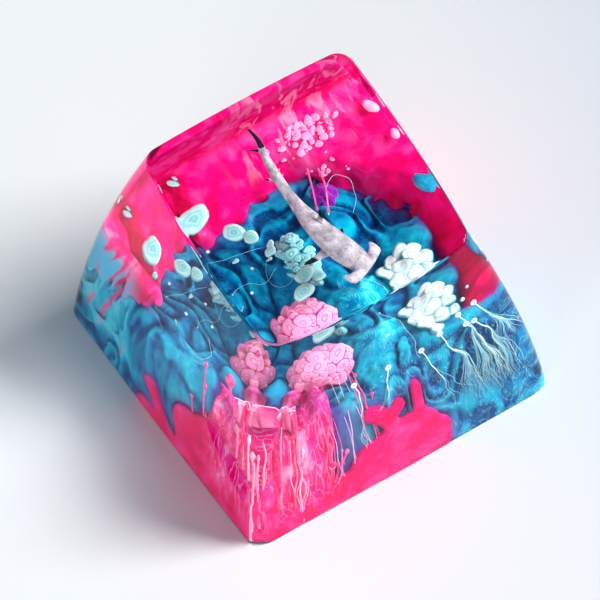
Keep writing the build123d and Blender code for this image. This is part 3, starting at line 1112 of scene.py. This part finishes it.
def add_cells(name, cells, stops, other, *nodes):
    """Flat cells as one piece, each with its own tone, in tints from middle to rim and one other tint."""
    made = [cell(*one) for one in cells]
    tones = np.random.default_rng(len(cells)).uniform(0, 1, len(cells))
    points, faces = bundle([part for part, _ in made])
    material = cell_material(name, stops, other)
    piece = mesh_object(name, warped(points, 0.5, cell_warp, 76), faces, material)
    ring = np.concatenate([shares for _, shares in made])
    set_marks(piece, ring=ring, tone=np.repeat(tones, [len(shares) for _, shares in made]))
    put(piece, "pale_ink", *nodes)


def cell_material(name, stops, other):
    """Cells ringed by contour lines, each between two tints."""
    look = Look(name)
    ring = look.swayed(look.mark("ring"), (look.grain(1.9, 1.0), 0.3))
    return look.paint(look.mixed(look.times(look.mark("tone"), 0.35), look.tint(ring, stops), other))


def dome_cells(centre, radii, count, sizes, flat, seed):
    """Flat cells laid over the top of a dome, the largest first, each where it has most room."""
    rng = np.random.default_rng(seed)
    radii = np.asarray(radii)
    cells = []
    for size in np.sort(rng.uniform(*sizes, count))[::-1]:
        ways = unit(rng.normal(0, 1, (dome_tries, 3)))
        ways[:, 2] = abs(ways[:, 2]) - 0.25
        spots = centre + ways * radii
        room = [np.linalg.norm(spots - one[0], axis=1) - one[2] - size for one in cells]
        best = np.min(room, axis=0).argmax() if cells else 0
        facing = unit(unit(ways[best] / radii) + np.multiply(cell_lean, 1.2) + rng.normal(0, 0.2, 3))
        spot = spots[best] + facing * rng.normal(0, 0.07)
        cells.append((spot, facing, size, size * rng.uniform(0.6, 1.0), size * flat, rng.uniform(0, 360)))
    return cells


# Bubbles on the rear bank: middle and directions of their cluster in plan, numbers, sizes and limits
bubble_spot = (3.6, 5.75)
bubble_across = (0.859, -0.512)
bubble_along = (0.62, 1.04)
bubble_core = 120
bubble_strays = 130
bubble_sizes = (0.07, 0.25)
bubble_rear = 7.4
bubble_heights = (7.0, 11.0)
stray_size = 0.7


def bubble_cells():
    """Round bubbles lying on the rear bank, close together in a core with strays along a band."""
    rng = np.random.default_rng(5)
    across = np.concatenate([rng.normal(0.1, 0.6, bubble_core), rng.normal(-0.5, 0.95, bubble_strays)])
    along = np.concatenate([rng.normal(0.1, 0.7, bubble_core), rng.uniform(-2.9, 2.9, bubble_strays)])
    plan = np.outer(across, bubble_across) + np.outer(along, bubble_along) + bubble_spot
    sizes = rng.uniform(*bubble_sizes, len(plan))
    sizes[bubble_core:] *= stray_size
    plan = plan[np.argsort(-sizes)]
    sizes = np.sort(sizes)[::-1]
    heights = tops(magenta_field, plan, 6.5, 12.0)
    low, high = bubble_heights
    cells = []
    for (x, y), z, size in zip(plan, heights, sizes):
        spot = np.array([x, y, z + 0.4 * size])
        close = any(np.linalg.norm(spot - one[0]) < 0.6 * (size + one[2]) for one in cells)
        if not close and y < bubble_rear and low < z < high:
            cells.append((spot, (-0.1, -0.3, 1.0), size, size, 0.7 * size))
    return cells


# Mint pebbles: centre, half axes and turn about +Z
mint_pebbles = (
    ((-4.6, 4.3, 8.45), (0.98, 0.72, 0.3), 40),
    ((-3.1, 2.6, 8.2), (0.62, 0.55, 0.26), 10),
    ((-2.45, 1.85, 8.15), (0.42, 0.38, 0.22), 0),
    ((-2.0, 0.6, 8.05), (0.36, 0.3, 0.22), 20),
    ((-1.75, 0.95, 8.15), (0.22, 0.22, 0.16), 0),
    ((-2.35, 0.25, 7.95), (0.17, 0.17, 0.14), 0),
    ((-4.4, 6.7, 8.7), (0.38, 0.24, 0.2), -30),
    ((-3.7, 6.6, 8.7), (0.3, 0.2, 0.18), 20),
    ((-4.1, 7.0, 9.0), (0.2, 0.34, 0.16), 10),
    ((-1.25, -1.55, 8.0), (0.6, 0.42, 0.3), 20),
    ((-1.9, -2.45, 8.05), (0.7, 0.38, 0.3), 35),
    ((-0.6, -1.9, 7.8), (0.4, 0.3, 0.25), -20),
    ((-5.5, 3.3, 7.9), (0.3, 0.2, 0.16), 30),
    ((-3.9, 1.2, 7.8), (0.2, 0.16, 0.14), 0),
)

# Lobes of the white bloom: centre, half axes and turn about +Z
white_lobes = (
    ((2.7, -3.5, 7.15), (0.62, 0.4, 0.2), -25),
    ((3.2, -3.1, 7.3), (0.6, 0.4, 0.2), 25),
    ((3.9, -2.9, 7.45), (0.6, 0.4, 0.18), 50),
    ((4.5, -3.1, 7.5), (0.5, 0.4, 0.18), 0),
    ((3.4, -3.7, 7.5), (0.75, 0.5, 0.2), 15),
    ((4.2, -3.6, 7.65), (0.7, 0.5, 0.18), -20),
    ((4.9, -3.8, 7.4), (0.5, 0.42, 0.2), 30),
    ((3.0, -4.2, 7.1), (0.6, 0.45, 0.22), 30),
    ((3.8, -4.3, 7.35), (0.7, 0.5, 0.2), 0),
    ((4.6, -4.4, 7.3), (0.6, 0.45, 0.2), -10),
    ((3.3, -4.8, 6.85), (0.6, 0.42, 0.22), 10),
    ((4.1, -4.95, 6.95), (0.7, 0.45, 0.22), -15),
    ((4.8, -5.0, 6.8), (0.45, 0.35, 0.2), 0),
    ((3.7, -5.4, 6.5), (0.5, 0.35, 0.22), 5),
)


def add_pale():
    mint_stops = (
        (0.08, (0.22, 0.6, 0.6)),
        (0.28, (0.1, 0.42, 0.46)),
        (0.36, (0.38, 0.72, 0.68)),
        (0.56, (0.16, 0.52, 0.54)),
        (0.64, (0.36, 0.72, 0.68)),
        (0.88, (0.64, 0.88, 0.84)),
        (1.0, (0.2, 0.56, 0.58)),
    )
    white_stops = (
        (0.1, (0.78, 0.88, 0.86)),
        (0.42, (0.74, 0.87, 0.85)),
        (0.5, (0.22, 0.58, 0.6)),
        (0.58, (0.78, 0.88, 0.86)),
        (0.82, (0.74, 0.87, 0.85)),
        (0.94, (0.03, 0.36, 0.44)),
    )
    lean = (-0.12, -0.35, 1.0)
    pebbles = [(np.array(centre), lean, *half, turn) for centre, half, turn in mint_pebbles]
    add_cells("mint_pebbles", pebbles, mint_stops, (0.4, 0.76, 0.74))
    rng = np.random.default_rng(12)
    lobes = [
        (np.array(centre), lean + rng.normal(0, 0.25, 3), *half, turn) for centre, half, turn in white_lobes
    ]
    add_cells("white_bloom", lobes, white_stops, (0.6, 0.82, 0.8), "pale_ink")


# Drops of ink: centre, half axes, turn about +Z and hue, from violet at 0 by teal to pale pink at 1
ink_drops = (
    ((7.05, -0.5, 8.7), (0.5, 0.7, 0.3), 15, 0.5),
    ((7.2, 5.0, 9.0), (0.3, 0.55, 0.2), 20, 1.0),
    ((7.4, 2.9, 8.9), (0.22, 0.35, 0.18), 0, 1.0),
    ((-5.6, 0.4, 8.0), (0.12, 0.12, 0.1), 0, 0.75),
    ((-4.2, -0.9, 7.7), (0.1, 0.1, 0.08), 0, 0.75),
    ((-3.4, 0.3, 7.9), (0.09, 0.09, 0.08), 0, 0.75),
    ((-4.9, 2.4, 8.0), (0.1, 0.1, 0.08), 0, 0.75),
    ((0.9, -5.2, 7.9), (0.1, 0.1, 0.08), 0, 0.75),
    ((5.4, -5.2, 7.4), (0.14, 0.14, 0.1), 0, 0.75),
    ((5.9, -4.6, 7.6), (0.1, 0.1, 0.08), 0, 0.75),
)
drop_sides = 22
drop_rings = 14


def add_drops():
    parts = []
    hues = []
    turns = np.linspace(0, 2 * math.pi, drop_sides, endpoint=False)
    tilts = np.linspace(0.15, 3.0, drop_rings)
    for centre, half, turn, hue in ink_drops:
        angle = math.radians(turn)
        first = np.array([math.cos(angle), math.sin(angle), 0]) * half[0]
        second = np.array([-math.sin(angle), math.cos(angle), 0]) * half[1]
        up = np.array([0, 0, half[2]])
        rings = [
            oval(centre + up * math.cos(tilt), first * math.sin(tilt), second * math.sin(tilt), turns)
            for tilt in tilts
        ]
        points, faces = skin(centre + up, rings, centre - up)
        parts.append((warped(points, 0.4, 0.25 * min(half), 75), faces))
        hues.append(np.full(len(points), hue))
    stops = (
        (0.06, violet),
        (0.25, (0.3, 0.05, 0.42)),
        (0.5, (0.0, 0.3, 0.5)),
        (0.75, (0.5, 0.85, 0.85)),
        (0.97, (1.0, 0.55, 0.75)),
    )
    material = marked_material("ink_drops", "hue", 2.0, 0.2, stops)
    piece = mesh_object("ink_drops", *bundle(parts), material)
    set_marks(piece, hue=np.concatenate(hues))
    put(piece, "pale_ink")


# Plumes in the front wall: stops of place across, height and depth, from head to foot
wall_threads = (
    ((4.6, 7.9, 0.9), (5.0, 6.9, 0.7), (5.3, 5.8, 0.45), (5.7, 4.6, 0.3), (5.8, 3.4, 0.3), (6.2, 1.8, 0.3)),
    ((3.4, 7.3, 1.0), (3.8, 6.3, 0.8), (4.3, 5.6, 0.4), (4.5, 4.7, 0.3), (4.9, 3.6, 0.3), (5.0, 2.0, 0.3)),
    ((4.9, 7.2, 0.7), (5.4, 6.3, 0.5), (6.0, 5.0, 0.3), (6.4, 3.8, 0.3), (6.7, 2.2, 0.3)),
    ((5.4, 7.1, 0.7), (6.1, 6.1, 0.5), (6.6, 4.9, 0.3), (6.9, 3.4, 0.3), (7.2, 2.0, 0.3)),
    ((5.6, 8.1, 0.9), (6.4, 7.0, 0.6), (6.9, 6.0, 0.4), (7.2, 4.8, 0.3)),
    ((2.2, 6.9, 1.0), (2.6, 5.8, 0.6), (2.9, 4.6, 0.3), (3.4, 3.4, 0.3), (3.5, 2.4, 0.3)),
    ((0.2, 7.0, 1.0), (-0.1, 6.2, 0.5), (-0.4, 5.2, 0.25), (-0.3, 4.8, 0.2)),
    ((-1.9, 7.2, 0.8), (-1.7, 6.0, 0.6), (-2.0, 4.6, 0.4), (-1.9, 3.0, 0.3), (-2.2, 1.6, 0.3)),
)
plume_count = 5
hairs_each = 26
few_hairs = 4
hair_starts = (0.08, 0.5)
hair_spread = 0.6
hair_radii = (0.006, 0.018)
thread_points = 60
thread_tip_r = 0.004
thread_swell = 0.028
thread_loop_r = 0.06

# Threads over the pool: their radius, the radius of their heads, and stops from head to foot
pool_thread_r = 0.008
pool_head_r = 0.06
pool_threads = (
    ((1.2, -3.0, 7.9), (1.9, -4.4, 7.7), (2.3, -5.6, 7.1), (2.2, -6.6, 6.3), (2.8, -7.3, 4.9)),
    ((-2.4, 0.4, 7.9), (-2.9, -0.2, 7.6), (-2.8, -0.9, 7.4), (-2.1, -1.2, 7.4), (-1.6, -0.8, 7.6)),
    ((-5.2, -0.4, 7.5), (-4.2, -0.1, 7.5), (-3.2, -0.5, 7.4), (-2.2, -0.2, 7.6)),
    ((-5.6, 2.0, 7.6), (-4.4, 1.6, 7.7), (-3.2, 1.5, 7.7), (-2.2, 1.2, 7.8)),
    ((2.0, 0.9, 7.9), (2.5, 2.0, 8.3), (3.2, 2.6, 8.6), (3.9, 2.2, 8.5), (3.7, 1.2, 8.2), (3.0, 0.5, 7.9)),
    ((-6.0, 1.0, 7.2), (-6.6, -0.2, 6.6), (-6.4, -1.4, 6.9), (-5.6, -1.9, 7.2), (-5.0, -1.2, 7.4)),
    ((-6.4, 2.6, 7.0), (-7.0, 1.4, 6.4), (-7.2, 0.2, 6.1), (-6.9, -1.0, 6.4), (-6.2, -2.2, 7.0)),
)


def add_threads():
    rng = np.random.default_rng(23)
    parts = []
    tones = []
    share = np.linspace(0, 1, thread_points)
    turns = np.linspace(0, 2 * math.pi, 25)
    for number, stops in enumerate(wall_threads):
        across, z, depth = smooth_path(stops, thread_points).T
        sway = 0.2 * noise(np.stack([across, 1.3 * z, depth], 1), 1.0, 81) * ramp(share, 0, 0.2)
        path = on_wall("front", across + sway, z, depth)
        parts.append(tube(path, thread_tip_r + thread_swell * ramp(share, 0.8, 0.15)))
        tones.append(0.95)
        head = oval(path[0], np.array([0.13, 0, 0]), np.array([0, 0.05, 0.09]), turns)
        parts.append(tube(head, np.full(len(turns), thread_loop_r)))
        tones.append(0.8)
        for _ in range(hairs_each if number < plume_count else few_hairs):
            leave = rng.uniform(*hair_starts)
            spread = ramp(share, leave, 1.1) * rng.normal(0, hair_spread)
            wave = 0.35 * noise(np.stack([across + 5 * leave, 0.8 * z, depth], 1), 1.0, 82)
            wave = wave * ramp(share, leave, 1)
            keep = share > leave
            inside = np.clip(depth + rng.normal(0, 0.1), 0.1, 1.2)
            hair = on_wall("front", across + sway + spread + wave, z, inside)[keep]
            parts.append(tube(hair, rng.uniform(*hair_radii) * ramp(share[keep], 1.05, 0.6), 5))
            tones.append(rng.uniform(0.2, 0.9))
    for stops in pool_threads:
        path = warped(smooth_path(stops, thread_points), 0.8, 0.2, 83)
        radii = bulbed(1 - share, pool_thread_r, pool_head_r, 4.0)
        parts.append(tube(path, np.maximum(pool_thread_r, radii)))
        tones.append(rng.uniform(0.2, 0.6))
    colours = ((0.1, (0.08, 0.55, 0.66)), (0.5, (0.4, 0.78, 0.82)), (0.95, (0.88, 0.95, 0.96)))
    material = marked_material("pale_threads", "tone", 1.5, 0.5, colours)
    piece = mesh_object("pale_threads", *bundle(parts), material)
    set_marks(piece, tone=np.repeat(tones, [len(points) for points, _ in parts]))
    put(piece, "pale_ink")


# Tints of the cells, from the middle of a cell to its rim
pink_cell_stops = (
    (0.1, (1.0, 0.5, 0.74)),
    (0.32, (0.95, 0.12, 0.42)),
    (0.42, (1.0, 0.46, 0.7)),
    (0.7, (1.0, 0.36, 0.63)),
    (0.84, (1.0, 0.56, 0.77)),
    (0.94, (0.88, 0.02, 0.25)),
)
mint_cell_stops = (
    (0.1, (0.5, 0.86, 0.8)),
    (0.34, (0.02, 0.36, 0.44)),
    (0.46, (0.4, 0.8, 0.76)),
    (0.85, (0.24, 0.7, 0.7)),
    (1.0, (0.0, 0.24, 0.36)),
)
violet_stops = (
    (0.1, (0.12, 0.01, 0.3)),
    (0.4, (0.4, 0.02, 0.45)),
    (0.5, (0.1, 0.01, 0.28)),
    (0.9, (0.5, 0.05, 0.5)),
    (1.0, (0.05, 0.01, 0.2)),
)
bubble_stops = (
    (0.1, (1.0, 0.34, 0.62)),
    (0.5, (1.0, 0.2, 0.5)),
    (0.85, (1.0, 0.5, 0.73)),
    (1.0, (0.98, 0.1, 0.4)),
)

# Cells on domes: name, dome, count, least and largest size, flatness, seed, tints and other tint
dome_sets = (
    ("pink_cells", pink_dome, 54, (0.16, 0.62), 0.26, 3, pink_cell_stops, (1.0, 0.4, 0.66)),
    ("mint_cells", mint_dome, 60, (0.1, 0.4), 0.45, 4, mint_cell_stops, (0.2, 0.66, 0.68)),
    ("violet_bloom", violet_dome, 12, (0.16, 0.42), 0.3, 8, violet_stops, (0.3, 0.01, 0.4)),
)

add_strands()
add_veil()
for name, dome, count, sizes, flat, seed, stops, other in dome_sets:
    add_cells(name, dome_cells(*dome, count, sizes, flat, seed), stops, other)
add_cells("bubbles", bubble_cells(), bubble_stops, (1.0, 0.5, 0.72))
add_pale()
add_drops()
add_threads()


# Shark: lies parallel to the top, shark_depth below it, rolled towards its left side
shark_length = 8.55
shark_depth = 2.55
shark_roll = 25.0
shark_half_width = 0.85
shark_half_height = 0.55
shark_spine = ((0.0, 0.48), (-0.041, 0.14), (-0.012, -0.187), (0.158, -0.52))
shark_sections = (
    (0.00, 0.18, 0.28),
    (0.15, 0.30, 0.42),
    (0.40, 0.38, 0.62),
    (0.55, 0.66, 0.88),
    (0.72, 0.92, 1.00),
    (0.85, 1.00, 0.85),
    (0.95, 0.78, 0.55),
    (0.99, 0.50, 0.30),
)
hammer_width = 3.2
hammer_length = 0.8
hammer_thickness = 0.36
fin_thickness = 0.16
fin_droop = 25.0
fin_tip_chord = 0.25
pectoral_fin = (0.76, 0.95, 0.35, 2.00)
pelvic_fin = (0.22, 0.40, 0.20, 0.65)
dorsal_fin = (0.62, 0.95, 0.40, 1.25)
upper_tail = (0.03, 0.40, 1.15, 0.60)
lower_tail = (0.03, 0.40, 0.25, -0.15)
tail_thickness = 0.46
tail_bend = -0.6
body_rings = 48
body_sides = 28
hammer_rings = 41
fin_rings = 14


def shark_frame(share, droop=0.0):
    """The spine's place, and the directions forward, left and up there, rolled and drooped."""
    tilt = math.radians(top_tilt)
    across = np.array([1, 0, 0])
    along = np.array([0, math.cos(tilt), math.sin(tilt)])
    above = np.array([0, -math.sin(tilt), math.cos(tilt)])
    start, pull, push, end = np.array(shark_spine) * shark_length
    rest = 1 - share
    x, y = start * rest**3 + pull * 3 * rest**2 * share + push * 3 * rest * share**2 + end * share**3
    step = (pull - start) * rest**2 + (push - pull) * 2 * rest * share + (end - push) * share**2
    spot = np.array([0, top_shift, top_height]) - above * shark_depth + across * x + along * y
    forward = unit(across * step[0] + along * step[1])
    left = np.cross(above, forward)
    roll = math.radians(shark_roll + droop)
    across_back = left * math.cos(roll) - above * math.sin(roll)
    up = above * math.cos(roll) + left * math.sin(roll)
    return spot, forward, across_back, up


def shark_body():
    angles = np.linspace(0, 2 * math.pi, body_sides, endpoint=False)
    rings = []
    for share, width, height in smooth_path(shark_sections, body_rings):
        spot, _, left, up = shark_frame(share)
        rings.append(oval(spot, left * width * shark_half_width, up * height * shark_half_height, angles))
    return skin(shark_frame(-0.01)[0], rings, shark_frame(1.0)[0])


def shark_hammer():
    """The head's crosspiece, with its ends swept back."""
    spot, forward, left, up = shark_frame(1 - hammer_length / shark_length / 2)
    angles = np.linspace(0, 2 * math.pi, body_sides, endpoint=False)
    rings = []
    for place in np.linspace(-0.995, 0.995, hammer_rings):
        out = abs(place)
        front = hammer_length * (0.55 - 0.2 * out**2)
        back = -hammer_length * (0.18 + 0.62 * out**4)
        tip = math.sqrt(max(1 - (max(out - 0.86, 0) / 0.14) ** 2, 0.02))
        middle = spot + left * place * hammer_width / 2 + forward * (front + back) / 2
        half = forward * (front - back) / 2 * tip
        rings.append(oval(middle, half, up * hammer_thickness / 2 * tip * (1 - 0.3 * out), angles))
    ends = [spot + left * side * hammer_width / 2 - forward * hammer_length * 0.2 for side in (-1, 1)]
    return skin(ends[0], rings, ends[1])


def shark_fin(frame_here, outward, face, chord, sweep, reach_out, thickness=fin_thickness, bend=0.0):
    """A swept fin that may bend to one face, with the share of its reach at each point."""
    spot, forward = frame_here[:2]
    angles = np.linspace(0, 2 * math.pi, 16, endpoint=False)
    rings = []
    for share in np.linspace(0, 1, fin_rings):
        lead = chord / 2 * (1 - share) - sweep * share
        trail = -chord / 2 * (1 - share) - (sweep + chord * fin_tip_chord) * share
        trail += 0.18 * chord * math.sin(math.pi * share)
        round_off = math.sqrt(max(1 - max(share - 0.8, 0) ** 2 / 0.04, 0.03))
        middle = spot + outward * reach_out * share + forward * (lead + trail) / 2 + face * bend * share**2
        half = forward * (lead - trail) / 2 * round_off
        rings.append(oval(middle, half, face * thickness / 2 * (1 - 0.6 * share), angles))
    tip = spot + outward * reach_out - forward * (sweep + chord * fin_tip_chord / 2) + face * bend
    points, faces = skin(spot, rings, tip)
    shares = [0, *np.repeat(np.linspace(0, 1, fin_rings), len(angles)), 1]
    return (points, faces), np.array(shares)


def add_shark():
    parts = [shark_body(), shark_hammer()]
    tips = [np.zeros(len(points)) for points, _ in parts]
    for place, chord, sweep, height in (dorsal_fin, upper_tail, lower_tail):
        here = shark_frame(place)
        at_tail = place < 0.5
        form = (tail_thickness, tail_bend) if at_tail else (fin_thickness, 0.0)
        outward = here[3] * math.copysign(1, height)
        part, shares = shark_fin(here, outward, here[2], chord, sweep, abs(height), *form)
        parts.append(part)
        tips.append(shares * (3.0 if at_tail else 1.0))
    for place, chord, sweep, out in (pectoral_fin, pelvic_fin):
        for side in (-1, 1):
            here = shark_frame(place, side * fin_droop)
            part, shares = shark_fin(here, here[2] * side, here[3], chord, sweep, out)
            parts.append(part)
            tips.append(shares)
    points, faces = bundle(parts)
    piece = mesh_object("shark", points, faces, shark_material())
    set_marks(piece, tip=np.concatenate(tips))
    put(piece, "shark_paint", "shark_figure")


def shark_material():
    """Mottled grey with scrawled lines, black at the tips."""
    look = Look("shark_paint")
    mottle = look.grain(1.6, 4.0, 0.4)
    stops = ((0.34, (0.26, 0.25, 0.29)), (0.5, (0.48, 0.46, 0.5)), (0.64, (0.64, 0.61, 0.66)))
    lines = look.contours(look.grain(1.7, 3.0, 1.6), (0.5, 0.02), (0.42, 0.015))
    lined = look.mixed(look.times(lines, 0.7), look.tint(mottle, stops), (0.13, 0.12, 0.15))
    black = look.step(look.swayed(look.mark("tip"), (mottle, 0.3)), 0.62, 0.72)
    height = look.grain(5.0, 3.0)
    rough = look.node("ShaderNodeBump", {"Strength": 0.35, "Distance": 0.00004, "Height": height})
    look.feed(look.shader, {"Normal": rough.outputs["Normal"]})
    return look.paint(look.mixed(black, lined, (0.012, 0.012, 0.015)))


add_shark()


def add_camera():
    azimuth = math.radians(cam_azimuth)
    elevation = math.radians(cam_elevation)
    roll = math.radians(cam_roll)
    right = Vector((math.cos(azimuth), math.sin(azimuth), 0))
    outward = Vector((math.sin(azimuth), -math.cos(azimuth), 0))
    back = outward * math.cos(elevation) + Vector((0, 0, math.sin(elevation)))
    up = back.cross(right)
    rolled_right = right * math.cos(roll) + up * math.sin(roll)
    rolled_up = up * math.cos(roll) - right * math.sin(roll)
    target = Vector(cam_target) + rolled_right * cam_slide[0] + rolled_up * cam_slide[1]
    data = bpy.data.cameras.new("camera")
    data.lens = cam_lens
    data.sensor_width = cam_sensor
    data.clip_start = 0.01
    data.clip_end = 10
    camera = bpy.data.objects.new("camera", data)
    bpy.context.scene.collection.objects.link(camera)
    turn = Matrix((rolled_right, rolled_up, back)).transposed().to_4x4()
    camera.matrix_world = Matrix.Translation((target + back * cam_distance) * MM) @ turn
    bpy.context.scene.camera = camera


def add_lamp(name, place, size, power, colour=(1, 1, 1)):
    """A round lamp that shines from a place at the middle of the part."""
    data = bpy.data.lights.new(name, "AREA")
    data.shape = "DISK"
    data.size = size * MM
    data.energy = power
    data.color = colour
    lamp = bpy.data.objects.new(name, data)
    bpy.context.scene.collection.objects.link(lamp)
    turn = (Vector(lamp_target) - Vector(place)).to_track_quat("-Z", "Y").to_matrix().to_4x4()
    lamp.matrix_world = Matrix.Translation(Vector(place) * MM) @ turn


def add_floor():
    corners = [(x * floor_half, y * floor_half, 0) for x, y in ((-1, -1), (1, -1), (1, 1), (-1, 1))]
    mesh_object("floor", corners, [(0, 1, 2, 3)], floor_material())


def add_world():
    world = bpy.data.worlds.new("studio")
    bpy.context.scene.world = world
    world.use_nodes = True
    sky = world.node_tree.nodes["Background"]
    sky.inputs["Color"].default_value = (*sky_colour, 1)
    sky.inputs["Strength"].default_value = sky_strength


add_camera()
add_floor()
add_world()
add_lamp("key", place=(600, -280, 560), size=440, power=8.9)
add_lamp("fill", place=(-200, -110, 45), size=80, power=0.2, colour=(0.85, 0.92, 1.0))
bpy.context.scene.view_settings.view_transform = "Standard"
